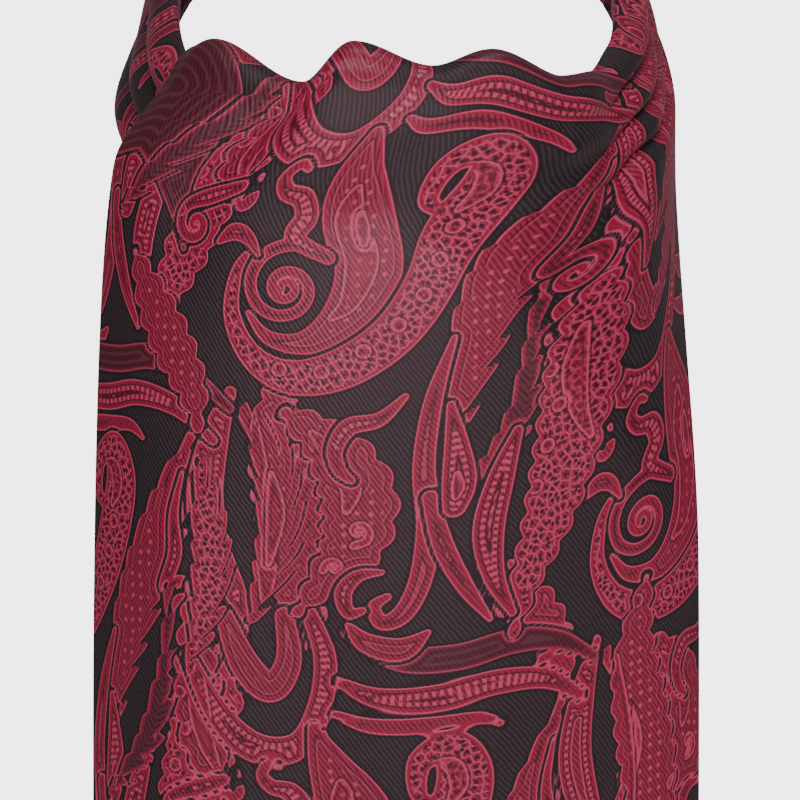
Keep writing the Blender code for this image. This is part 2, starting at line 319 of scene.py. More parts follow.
def front_blade_form(across, along):
    angle = curved(CREST, "angle", across)
    wing = smooth(angle, 38, 62)
    crest = mix(eased(CREST, "height", across), band_top(angle), smooth(angle, 50, 72))
    out, down = over_fold(along, eased(CREST, "roll", across))
    length = band_length(angle)
    band_out, band_up = band_section(angle, np.minimum(along, length), crest)
    band_up -= np.maximum(along - length, 0)
    out, up = mix(out + WALL / 2, band_out, wing), mix(crest + down, band_up, wing)
    swing = mix(0.046, 0.030, smooth(across, -0.02, -HALF_CUT))
    swing = mix(swing, 0.150, smooth(across, -0.004, HALF_CUT))
    share = softer(along, 0.036 * wing, swing)[..., None]
    points = mix(stand(angle, out, up), hang(FRONT_FALL, across, along), share)
    points[..., 2] += SIDE_LIFT * share[..., 0] * smooth(across, 0, HALF_CUT)
    return points + neck(angle)[1] * crease_height(across, along, CREASES)[..., None]


def pointed_end(drop, across):
    slant = np.hypot(POINT_HEIGHT * across / HALF_CUT, POINT_ROUNDING)
    return drop + POINT_ROUNDING - slant


# %% [markdown]
# A silk blade is a flat tube: two layers, folded and rounded at the edges. Thickening a sheet with square
# sides would look like card, so the shell is built as the tailor's blade is: a fine face, a coarser back,
# and a half round that joins them all the way round.


# %% Build a cloth shell from a grid of points
def unit(vectors):
    return vectors / np.linalg.norm(vectors, axis=-1, keepdims=True)


def shell(name, points, cloth, wall=0.0014, every=3, edge_steps=4):
    """A closed mesh on a grid of points (rows, columns, 3); cloth holds each point's place in the flat cut."""
    rows, columns = points.shape[:2]
    run_along, run_across = np.gradient(points, axis=0), np.gradient(points, axis=1)
    normal = unit(np.cross(run_along, run_across))
    grid = np.arange(rows * columns).reshape(rows, columns)
    rim = np.concatenate([grid[0, :-1], grid[:-1, -1], grid[-1, :0:-1], grid[:0:-1, 0]])
    flat_points, flat_normal = points.reshape(-1, 3), normal.reshape(-1, 3)
    outward = np.zeros_like(points)
    outward[0], outward[-1] = -unit(run_along[0]), unit(run_along[-1])
    outward[:, 0] -= unit(run_across[:, 0])
    outward[:, -1] += unit(run_across[:, -1])
    rim_out = unit(outward.reshape(-1, 3)[rim])
    rings = []
    for step in range(1, edge_steps + 1):
        turn = math.pi * step / edge_steps
        side = flat_normal[rim] * math.cos(turn) + rim_out * math.sin(turn)
        rings.append(flat_points[rim] + side * wall / 2)
    inner = grid[::every, ::every][1:-1, 1:-1]
    back_points = flat_points[inner] - flat_normal[inner] * wall / 2
    face_points = flat_points + flat_normal * wall / 2
    all_points = np.concatenate([face_points, *rings, back_points.reshape(-1, 3)])

    faces = []
    a, b, c, d = grid[:-1, :-1], grid[:-1, 1:], grid[1:, 1:], grid[1:, :-1]
    faces += np.stack([d, c, b, a], -1).reshape(-1, 4).tolist()
    first = np.concatenate([rim, rows * columns + np.arange(len(rim) * (edge_steps - 1))])
    for step in range(edge_steps):
        low = first[step * len(rim) : (step + 1) * len(rim)]
        high = rows * columns + step * len(rim) + np.arange(len(rim))
        quads = np.stack([low, np.roll(low, -1), np.roll(high, -1), high], -1)
        faces += quads.tolist()
    back = np.full((rows, columns), -1)
    back.reshape(-1)[rim] = rows * columns + (edge_steps - 1) * len(rim) + np.arange(len(rim))
    inner_start = rows * columns + edge_steps * len(rim)
    back.reshape(-1)[inner.reshape(-1)] = inner_start + np.arange(inner.size)
    for row in range(0, rows - 1, every):
        for column in range(0, columns - 1, every):
            cell = back[row : row + every + 1, column : column + every + 1]
            walk = np.concatenate([cell[0, :-1], cell[:-1, -1], cell[-1, :0:-1], cell[:0:-1, 0]])
            faces.append(walk[walk >= 0].tolist())

    flat_cloth = cloth.reshape(-1, 2)
    spread = np.concatenate([flat_cloth, *[flat_cloth[rim]] * edge_steps, flat_cloth[inner].reshape(-1, 2)])
    reverse = np.ones(len(all_points))
    reverse[: rows * columns] = 0
    for step in range(edge_steps):
        ring_start = rows * columns + step * len(rim)
        reverse[ring_start : ring_start + len(rim)] = (step + 1) / edge_steps
    mesh = bpy.data.meshes.new(name)
    mesh.from_pydata(all_points.tolist(), [], faces)
    place = mesh.attributes.new("cloth", "FLOAT_VECTOR", "POINT")
    place.data.foreach_set("vector", np.column_stack([spread, reverse]).ravel())
    mesh.shade_smooth()
    mesh.validate()
    piece = bpy.data.objects.new(name, mesh)
    bpy.context.scene.collection.objects.link(piece)
    return piece


def spaced(*stretches):
    """Places along the cloth from (start, end, steps) stretches that follow each other."""
    parts = [np.linspace(start, end, steps, endpoint=False) for start, end, steps in stretches]
    return np.concatenate([*parts, [stretches[-1][1]]])


# %% Lay out the front blade
FRONT_COLUMNS = 255
ROLL_ZONE = 0.012
FINE_END = 0.152
FRONT_ROWS = (14, 36, 204, 76)

across = np.linspace(-HALF_CUT, HALF_CUT, FRONT_COLUMNS + 1)
wing = smooth(curved(CREST, "angle", across), 38, 62)
riser = mix(RISER + eased(CREST, "height", across), WING_LIP, wing)
marks = (-riser, -ROLL_ZONE * mix(1, 0.6, wing), 0 * across + ROLL_ZONE, 0 * across + FINE_END)
marks = (*marks, pointed_end(FRONT_DROP, across))
along = np.concatenate(
    [
        mix(marks[i], marks[i + 1], np.linspace(0, 1, steps, endpoint=False)[:, None])
        for i, steps in enumerate(FRONT_ROWS)
    ]
    + [marks[-1][None]]
)
across = np.broadcast_to(across, along.shape)
front_blade = shell("front_blade_silk", front_blade_form(across, along), 1000 * np.stack([across, along], -1))
print("front blade's faces:", len(front_blade.data.polygons))

# %% The band's three stretches
Stretch = namedtuple("Stretch", "start end columns")
SEAM = 0.6
BAND_STRETCHES = {
    "neckband_right": Stretch(RIGHT_SEAM + SEAM, BACK_SEAM, 60),
    "neckband_back": Stretch(BACK_SEAM + SEAM, 360 - BACK_SEAM - SEAM, 180),
    "neckband_left": Stretch(360 - BACK_SEAM, 360 + LEFT_SEAM, 198),
}
BAND_ROWS = 120


def band_form(stretch):
    angle = np.linspace(stretch.start, stretch.end, stretch.columns + 1)
    angle = np.where(angle > 180, angle - 360, angle)
    fold = curved(BAND, "depth", np.abs(angle)) / 2
    first = -fold * math.pi / 2 - INNER_LIP
    last = band_length(angle) + HEM_FOLD * HEM_TURN
    along = mix(first, last, np.linspace(0, 1, BAND_ROWS + 1)[:, None])
    angle = np.broadcast_to(angle, along.shape)
    points = stand(angle, *band_section(angle, along, band_top(angle)))
    length = np.linspace(stretch.start, stretch.end, stretch.columns + 1) / 180 * math.pi * 0.062
    return points, 1000 * np.stack([along, np.broadcast_to(length, along.shape)], -1)


bands = [shell(name + "_silk", *band_form(stretch)) for name, stretch in BAND_STRETCHES.items()]
print("band pieces:", [piece.name for piece in bands])

# %% The crossing
Throat = namedtuple("Throat", "angle out height middle ripple")
CROSSING = (
    Throat(-36, 0.0088, 0.034, -0.002, 0.0026),
    Throat(16, 0.0088, 0.034, -0.002, 0.0026),
    Throat(48, 0.0032, 0.018, -0.006, 0.0),
)


def crossing_form(columns, rows):
    angle, level = np.meshgrid(np.linspace(-36, 48, columns + 1), np.linspace(0, 1, rows + 1))
    ridge = np.abs(np.sin(math.pi * 3 * level)) ** RIDGE_SHARPNESS
    out = eased(CROSSING, "out", angle)
    out = out + eased(CROSSING, "ripple", angle) * ridge * np.sin(math.pi * level)
    middle = band_middle(angle) + eased(CROSSING, "middle", angle)
    points = stand(angle, out, middle + eased(CROSSING, "height", angle) * (0.5 - level))
    return points, 1000 * np.stack([(level - 0.5) * 0.16, np.radians(angle) * 0.066], -1)


crossing = shell("crossing_silk", *crossing_form(90, 60))

# %% The under blade
UNDER_DROP = 0.262
UNDER_TOP = 0.022
UNDER_SHIFT = -0.004
UNDER_GATHERS = 6
UNDER_FALL = (
    Fall(0.000, -0.0630, 0.0300, 0.0064),
    Fall(0.034, -0.0632, 0.0330, 0.0080),
    Fall(0.070, -0.0745, 0.0520, 0.0220),
    Fall(0.120, -0.0810, 0.0600, 0.0280),
    Fall(0.190, -0.0800, 0.0650, 0.0270),
    Fall(0.262, -0.0765, 0.0660, 0.0240),
)


def under_blade_form(columns, rows):
    share_across, share_along = np.meshgrid(np.linspace(0, 1, columns + 1), np.linspace(0, 1, rows + 1))
    across = mix(-HALF_CUT, HALF_CUT, share_across)
    along = share_along * pointed_end(UNDER_DROP, across)
    points = hang(UNDER_FALL, across, along)
    gather = 1 - smooth(along, 0.01, 0.11)
    points[..., 1] += 0.0010 * gather * np.cos(share_across * math.tau * UNDER_GATHERS)
    points[..., 0] += UNDER_SHIFT * smooth(along, 0.034, 0.120)
    points[..., 2] -= UNDER_TOP
    return points, 1000 * np.stack([across, along], -1)


under_blade = shell("under_blade_silk", *under_blade_form(150, 210))


# %% [markdown]
# The silk is a jacquard: two sets of threads swap places to draw a paisley in crimson on a charcoal
# ground. A weaver draws such a design as a chart. Here the chart is a list of strokes on the flat cloth,
# each a smooth line through a few points with a breadth at each, laid over one another like brushwork.
# For every point of the cloth it gives how far the nearest outline is, and the shader draws from that.


# %% Draw one stroke of the chart
Stroke = namedtuple("Stroke", "places breadths fill edge")
TWILL, BEADED, NET, FEATHER, ARCS = range(5)
PLAIN, TOOTHED, SCALLOPED = range(3)
GROUND_GAP = 1.1
REACH = 9.0


def stroke(points, fill=TWILL, edge=PLAIN):
    """A line through (across, along, breadth) points in mm, rounded as a bent spring would be."""
    knots = np.array([points[0], *points, points[-1]], float)
    share = np.linspace(0, 1, 14, endpoint=False)[:, None]
    parts = []
    for before, start, end, after in zip(knots, knots[1:], knots[2:], knots[3:]):
        leave, arrive = (end - before) / 2, (after - start) / 2
        square, cube = share**2, share**3
        parts.append(
            (2 * cube - 3 * square + 1) * start
            + (cube - 2 * square + share) * leave
            + (3 * square - 2 * cube) * end
            + (cube - square) * arrive
        )
    line = np.concatenate([*parts, knots[-1:]])
    return Stroke(line[:, :2], np.maximum(line[:, 2], 0.2), fill, edge)


def spiral(centre, inner, outer, turn, turns, thin, broad):
    """Points of a spiral that opens from its eye; turn is where it starts, in degrees."""
    share = np.linspace(0, 1, max(5, int(abs(turns) * 9)))
    angle = np.radians(turn + 360 * turns * share)
    radius = inner * (outer / inner) ** share
    across, along = centre[0] + radius * np.cos(angle), centre[1] + radius * np.sin(angle)
    return [*zip(across, along, mix(thin, broad, share))]


def measure_stroke(one, across, along):
    """Distance past the outline, place along the stroke and offset from its middle line, in mm."""
    steps = np.diff(one.places, axis=0)
    lengths = np.hypot(*steps.T)
    length = np.concatenate([[0], np.cumsum(lengths)])
    heading = np.gradient(one.places, axis=0)
    heading /= np.maximum(np.hypot(*heading.T), 1e-9)[:, None]
    aside = np.hypot(across[:, None] - one.places[:, 0], along[:, None] - one.places[:, 1])
    nearest = np.argmin(aside - one.breadths, axis=1)
    offset = np.stack([across, along], 1) - one.places[nearest]
    lateral = offset[:, 0] * heading[nearest, 1] - offset[:, 1] * heading[nearest, 0]
    forward = (offset * heading[nearest]).sum(1)
    past = aside[np.arange(len(across)), nearest] - one.breadths[nearest]
    place = length[nearest] + forward
    if one.edge == TOOTHED:
        tooth = (place / 7.5 + lateral * 0.10 + 0.12 * np.sin(place * 0.31)) % 1.0
        past = past + np.where(lateral > 0, 3.2, 1.2) * tooth**1.5
    if one.edge == SCALLOPED:
        past = past + 1.6 * (1 - np.abs(np.sin(math.pi * place / 6.2)))
    return past, place, lateral


def lay_stroke(chart, one, across, along):
    """Paints a stroke over the chart, with a little bare ground round it."""
    low = one.places.min(0) - one.breadths.max() - REACH
    high = one.places.max(0) + one.breadths.max() + REACH
    near = (across > low[0]) & (across < high[0]) & (along > low[1]) & (along < high[1])
    near = np.flatnonzero(near)
    for part in np.array_split(near, 1 + len(near) // 20000):
        past, place, lateral = measure_stroke(one, across[part], along[part])
        chart["past"][part] = np.maximum(chart["past"][part], GROUND_GAP - past)
        inside = part[past < GROUND_GAP / 2]
        own = past < GROUND_GAP / 2
        chart["fill"][inside] = one.fill
        chart["place"][inside] = place[own]
        chart["lateral"][inside] = lateral[own]
        chart["past"][part] = np.minimum(chart["past"][part], past)


# %% The strokes of the paisley
UNDERLAY = (
    stroke([(-104, 16, 13.0), (-84, 13, 13.5), (-68, 14, 11.0), (-58, 26, 6.0), (-53, 40, 2.4), (-51, 48, 0.6)], ARCS),
    stroke([(-52, -14, 1.4), (-52, 2, 2.6), (-54, 14, 4.0), (-58, 24, 4.2), (-65, 32, 3.0), (-73, 38, 0.6)], FEATHER, TOOTHED),
    stroke([(-44, -18, 3.0), (-45, 0, 5.0), (-44, 13, 6.2), (-43, 23, 5.6), (-40, 31, 3.6), (-36.5, 37, 2.0), (-33.5, 34.5, 1.2), (-34.5, 31, 0.6)], TWILL, SCALLOPED),
    stroke([(38, 18, 1.2), (33, 32, 5.0), (28, 46, 7.6), (22, 60, 8.0), (17, 74, 6.6), (13, 90, 3.2), (12, 102, 0.8)], TWILL, TOOTHED),
    stroke([(46, 10, 1.4), (42, 22, 3.6), (40, 36, 4.6), (43, 50, 4.0), (48, 60, 2.4), (50, 70, 0.8)], BEADED),
    stroke([(60, 0, 2.0), (57, 18, 6.2), (60, 38, 8.4), (63, 58, 7.0), (60, 76, 3.0), (58, 84, 1.0)], TWILL, SCALLOPED),
    stroke([(40, 70, 4.0), (41, 86, 8.8), (38, 104, 9.0), (33, 120, 7.0), (27, 134, 4.0), (24, 146, 1.0)], NET, SCALLOPED),
    stroke([(-66, 50, 2.0), (-60, 60, 5.4), (-53, 71, 6.4), (-47, 82, 4.4), (-45, 92, 1.2)], TWILL, SCALLOPED),
    stroke([(26, 96, 1.2), (22, 106, 3.0), (19, 118, 3.4), (20, 130, 2.2), (24, 140, 0.8)], BEADED),
    stroke([(-44, 100, 1.6), (-42, 112, 4.4), (-41, 126, 5.2), (-43, 140, 3.6), (-47, 150, 1.0)], NET, TOOTHED),
    stroke([(-34, 86, 1.6), (-27, 98, 4.6), (-25, 112, 5.4), (-27, 126, 4.4), (-31, 138, 1.4)], TWILL, TOOTHED),
    stroke([(-23, 88, 2.6), (-14, 95, 6.4), (-8, 107, 8.6), (-9, 119, 7.2), (-15, 128, 4.2), (-21, 136, 1.4)], TWILL, SCALLOPED),
)
SWEEPS = (
    stroke([(-47, 2, 1.6), (-39, 17, 3.0), (-30, 25, 3.6), (-20.5, 24, 3.2), (-16, 14, 2.6), (-15, 2, 2.4), (-19, -10, 1.6)], BEADED),
    stroke([(-38, -8, 2.0), (-33, 4, 3.4), (-27, 10, 3.4), (-23, 3, 2.8), (-24, -8, 2.0)], TWILL),
    stroke([(-12, 8, 1.0), (-4, 12, 2.4), (8, 12.5, 3.2), (20, 11, 3.0), (32, 14, 2.2), (42, 22, 1.0)], BEADED),
    stroke([(-10, -4, 1.6), (0, 2, 3.0), (12, 3, 3.2), (24, 2, 3.0), (36, 6, 2.0), (46, 14, 1.0)], ARCS),
    stroke([(-13, 16, 0.8), (-5, 19, 1.8), (8, 19, 1.9), (17, 19, 1.4), (22, 22, 0.5)], TWILL),
    stroke([(-17.5, 20, 1.2), (-14, 29, 4.4), (-8.5, 41, 7.8), (-6, 53, 7.2), (-11, 64, 5.2), (-19.5, 70, 2.8), (-28, 69, 1.6), (-33, 63, 0.6)], TWILL),
    stroke([(10, 34.5, 0.7), (8.2, 38.5, 1.2), (4.6, 36, 1.7), (5, 28, 2.6), (11, 25, 4.0), (14, 33, 5.6), (11.5, 45, 6.2), (7, 57, 5.6), (-1, 68.5, 5.0), (-12, 76.5, 4.8), (-23, 78.5, 4.0), (-32, 73.5, 2.8), (-37, 63.5, 2.0), (-36, 53, 1.4), (-32, 47, 0.6)], NET),
)
CURLS = (
    stroke([*spiral((-24.3, 57.0), 1.2, 12.0, 160, 2.45, 0.8, 1.5), (-22.5, 44.8, 2.2), (-20.4, 40, 2.6), (-22.5, 35.8, 2.2), (-26.8, 34.4, 1.7), (-29, 31.5, 1.3), (-27.4, 28.6, 1.0), (-25, 29.6, 0.6)], BEADED),
    stroke([*spiral((-48, 42), 0.8, 5.4, 60, 1.5, 0.6, 1.4), (-44, 35, 2.0), (-38, 33, 1.4)], BEADED),
    stroke([(-41, 46, 0.6), (-37, 43.5, 2.0), (-33.5, 45, 1.6), (-31, 49, 0.5)], TWILL),
    stroke([*spiral((35, 62), 1.0, 6.4, 0, -1.4, 0.7, 1.5), (32.5, 50, 1.8), (32, 40, 1.2), (34, 30, 0.5)], BEADED),
    stroke([(12.5, 70, 0.7), (8, 84, 1.9), (5.8, 100, 2.3), (6.8, 115, 2.6), (5, 128, 2.3), (1.5, 136, 2.1), (-2.8, 138.4, 1.7), (-4.6, 134.5, 1.3), (-1.8, 132, 0.8)], TWILL),
    stroke([(7, 108, 1.6), (9.6, 120, 2.1), (14, 131, 1.7), (19, 140, 0.6)], TWILL),
    stroke([(6.5, 141, 0.6), (1, 145, 2.7), (-6, 143.5, 2.3), (-10, 139, 0.6)], TWILL),
    stroke([(11.5, 86, 0.8), (12.6, 96, 2.5), (13, 105, 3.5), (12, 111, 2.4)], BEADED),
    stroke([(-9.5, 103.5, 0.9), (-12, 101, 1.4), (-13, 96, 1.7), (-10, 90.5, 2.0), (-3.5, 88.6, 1.6), (2, 83, 0.7)], BEADED),
    stroke([(-3, 126, 0.6), (-8, 127, 1.4), (-11, 131, 1.8), (-10, 136, 1.4), (-7, 135.5, 0.8)], BEADED),
)
# Drawn inside the strokes above, as single threads of light silk
THREADS = (
    *[stroke([(across, along, 1.5), (across + 0.1, along + 0.1, 1.5)]) for across, along in
      ((11.5, 43), (9.5, 50.5), (6, 58.5), (0.5, 65.5), (-7, 72), (-16, 77), (-25.5, 76.6), (34, 84), (36, 93), (33, 102), (30, 111), (25, 121))],
    stroke([(-11.5, 33, 0.8), (-10.5, 40, 3.2), (-7.5, 50, 3.6), (-10, 60, 2.0), (-14, 64, 0.6)]),
    stroke([(-8.2, 39, 0.7), (-7.4, 42.5, 1.4), (-7, 46, 0.7)]),
    stroke([(8, 28.6, 0.6), (11.4, 29.5, 1.6), (12.8, 34.5, 1.7), (11, 38.8, 0.7)]),
    stroke([(-18, 92, 0.7), (-13, 98, 2.2), (-9.6, 105, 2.2), (-10.5, 111, 0.8)]),
    stroke([*spiral((-8, 116), 0.6, 3.6, 30, 1.2, 0.4, 0.8)]),
    stroke([*spiral((-13, 125), 0.5, 2.6, 200, -1.1, 0.35, 0.7)]),
    stroke([(-44, 4, 0.8), (-44, 14, 2.4), (-42, 24, 1.8), (-39, 31, 0.6)]),
    stroke([(52, 16, 0.6), (53, 34, 3.0), (55, 52, 2.2), (54.5, 62, 0.6)]),
    stroke([(-27, 102, 0.5), (-26, 112, 2.0), (-27.5, 124, 0.6)]),
    stroke([(12.6, 103, 0.5), (12.7, 106, 1.2), (12.2, 108.6, 0.6)]),
)
REPEAT = ((-83.0, -72.5), (83.0, -72.5), (0.0, -145.0), (-83.0, 72.5), (83.0, 72.5), (0.0, 145.0), (0.0, 290.0), (0.0, 0.0))


def chart_at(across, along):
    """The chart's layers at points of the flat cloth, in mm."""
    chart = {name: np.zeros(len(across)) for name in ("fill", "place", "lateral")}
    chart["past"] = np.full(len(across), 8.0)
    chart["thread"] = np.full(len(across), 8.0)
    inner = {**chart, "past": chart["thread"], "fill": chart["fill"].copy(), "place": chart["place"].copy(), "lateral": chart["lateral"].copy()}
    for shift_across, shift_along in REPEAT:
        for one in (*UNDERLAY, *SWEEPS, *CURLS):
            if one is UNDERLAY[0] and shift_along:
                continue
            lay_stroke(chart, one, across - shift_across, along - shift_along)
        for one in THREADS:
            lay_stroke(inner, one, across - shift_across, along - shift_along)
    chart["thread"] = inner["past"]
    return chart


print("strokes in one repeat:", len(UNDERLAY) + len(SWEEPS) + len(CURLS) + len(THREADS))

# %% End of the chart
def chart_piece(piece):
    """Keeps the chart on the piece's own points, where the shader reads it."""
    mesh = piece.data
    cloth = np.empty(len(mesh.vertices) * 3)
    mesh.attributes["cloth"].data.foreach_get("vector", cloth)
    across, along, reverse = cloth.reshape(-1, 3).T
    chart = chart_at(across, along)
    layers = {
        "figure": (chart["past"], chart["place"], chart["lateral"]),
        "thread": (chart["thread"], chart["fill"], reverse),
    }
    for name, values in layers.items():
        layer = mesh.attributes.new(name, "FLOAT_VECTOR", "POINT")
        layer.data.foreach_set("vector", np.column_stack(values).ravel())


for piece in (front_blade, under_blade, crossing, *bands):
    chart_piece(piece)
print("charted points:", sum(len(piece.data.vertices) for piece in (front_blade, under_blade, crossing, *bands)))

# %% [markdown]
# A shader is a net of small sums. Writing them as sums keeps them readable, so a wire through the net is
# given the ordinary signs. Three helpers do most of the drawing: a soft step, a line of some breadth, and
# a coat of colour laid on through a mask.


# %% Write shader sums
class Wire:
    """A value on its way through a node tree."""

    def __init__(self, tree, socket):
        self.tree, self.socket = tree, socket

    def math(self, operation, *others, clamp=False):
        node = self.tree.nodes.new("ShaderNodeMath")
        node.operation, node.use_clamp = operation, clamp
        for socket, value in zip(node.inputs, (self, *others)):
            feed(self.tree, socket, value)
        return Wire(self.tree, node.outputs[0])

    def __add__(self, other):
        return self.math("ADD", other)

    def __sub__(self, other):
        return self.math("SUBTRACT", other)

    def __mul__(self, other):
        return self.math("MULTIPLY", other)

    def opposite(self):
        return self.math("MULTIPLY_ADD", -1.0, 1.0)

    def step(self, low, high):
        """0 at low and 1 at high, straight between; low may be the larger."""
        slope = 1 / (high - low)
        return self.math("MULTIPLY_ADD", slope, -low * slope, clamp=True)

    def line(self, centre, half, soft=0.12):
        """1 on a line of this half breadth, 0 off it."""
        return (self - centre).math("ABSOLUTE").step(half + soft, half - soft)

    def wave(self, length, shift=0.0):
        """A ripple from 0 to 1 that repeats after this length."""
        turn = self.math("MULTIPLY_ADD", math.tau / length, shift)
        return turn.math("SINE").math("MULTIPLY_ADD", 0.5, 0.5)


def feed(tree, socket, value):
    if isinstance(value, Wire):
        tree.links.new(value.socket, socket)
    else:
        socket.default_value = value


def coat(tree, colour, over, mask):
    """One colour laid over another through a mask."""
    node = tree.nodes.new("ShaderNodeMix")
    node.data_type = "RGBA"
    feed(tree, node.inputs["Factor"], mask)
    feed(tree, node.inputs["A"], colour)
    feed(tree, node.inputs["B"], over)
    return Wire(tree, node.outputs["Result"])


def new_group(name, inputs, outputs):
    """An empty node group with named inputs and outputs, given as name: (type, default)."""
    tree = bpy.data.node_groups.new(name, "ShaderNodeTree")
    for label, (kind, default) in inputs.items():
        socket = tree.interface.new_socket(label, in_out="INPUT", socket_type="NodeSocket" + kind)
        if default is not None:
            socket.default_value = default
    for label, kind in outputs.items():
        tree.interface.new_socket(label, in_out="OUTPUT", socket_type="NodeSocket" + kind)
    source = tree.nodes.new("NodeGroupInput")
    target = tree.nodes.new("NodeGroupOutput")
    return tree, {s.name: Wire(tree, s) for s in source.outputs if s.name}, target


def parts_of(tree, vector):
    node = tree.nodes.new("ShaderNodeSeparateXYZ")
    feed(tree, node.inputs[0], vector)
    return [Wire(tree, socket) for socket in node.outputs]


def noise_at(tree, vector, scale, detail=2.0):
    node = tree.nodes.new("ShaderNodeTexNoise")
    feed(tree, node.inputs["Vector"], vector)
    node.inputs["Scale"].default_value = scale
    node.inputs["Detail"].default_value = detail
    return Wire(tree, node.outputs["Fac"])


def stretched(tree, vector, scale, turn=0.0):
    """The cloth's coordinates, squeezed and turned for a texture that runs one way."""
    node = tree.nodes.new("ShaderNodeMapping")
    feed(tree, node.inputs["Vector"], vector)
    node.inputs["Scale"].default_value = scale
    node.inputs["Rotation"].default_value = (0, 0, turn)
    return Wire(tree, node.outputs[0])


# %% [markdown]
# Twill is the ground of the weave: each thread floats over a few others, one step further along in every
# row, and that draws fine slanting ribs. The ribs are about a millimetre apart here and are broken up by
# the uneven silk.

# %% The twill group
TWILL_PITCH = 0.95
TWILL_LEAN = math.radians(57)


def make_twill():
    tree, given, out = new_group("twill", {"Cloth": ("Vector", None)}, {"Rib": "Float", "Slub": "Float"})
    across, along, _ = parts_of(tree, given["Cloth"])
    phase = across * math.sin(TWILL_LEAN) - along * math.cos(TWILL_LEAN)
    waver = noise_at(tree, given["Cloth"], 0.22)
    rib = (phase + waver * 0.9).wave(TWILL_PITCH)
    slub = noise_at(tree, stretched(tree, given["Cloth"], (2.2, 0.45, 1.0), -TWILL_LEAN / 3), 1.0)
    feed(tree, out.inputs["Rib"], rib)
    feed(tree, out.inputs["Slub"], slub)
    return tree


twill = make_twill()
print("twill nodes:", len(twill.nodes))

# %% [markdown]
# The figure group turns the chart into silk. Distance past the outline gives the outline itself, its
# darker neighbour and the lines that echo it inside; the fill number chooses what is woven within: plain
# twill with dots, a row of beads, a net, the veins of a leaf, or nested arcs.

# %% The jacquard group
GROUND = (0.0060, 0.0045, 0.0055, 1)
GROUND_RIB = (0.026, 0.021, 0.024, 1)
FIGURE = (0.060, 0.0020, 0.0085, 1)
FIGURE_RIB = (0.24, 0.014, 0.040, 1)
SHADE = (0.018, 0.0025, 0.0060, 1)
CRIMSON = (0.22, 0.004, 0.024, 1)
PINK = (0.42, 0.040, 0.095, 1)
LEAF = (0.012, 0.0050, 0.0075, 1)
VEIN = (0.080, 0.018, 0.030, 1)


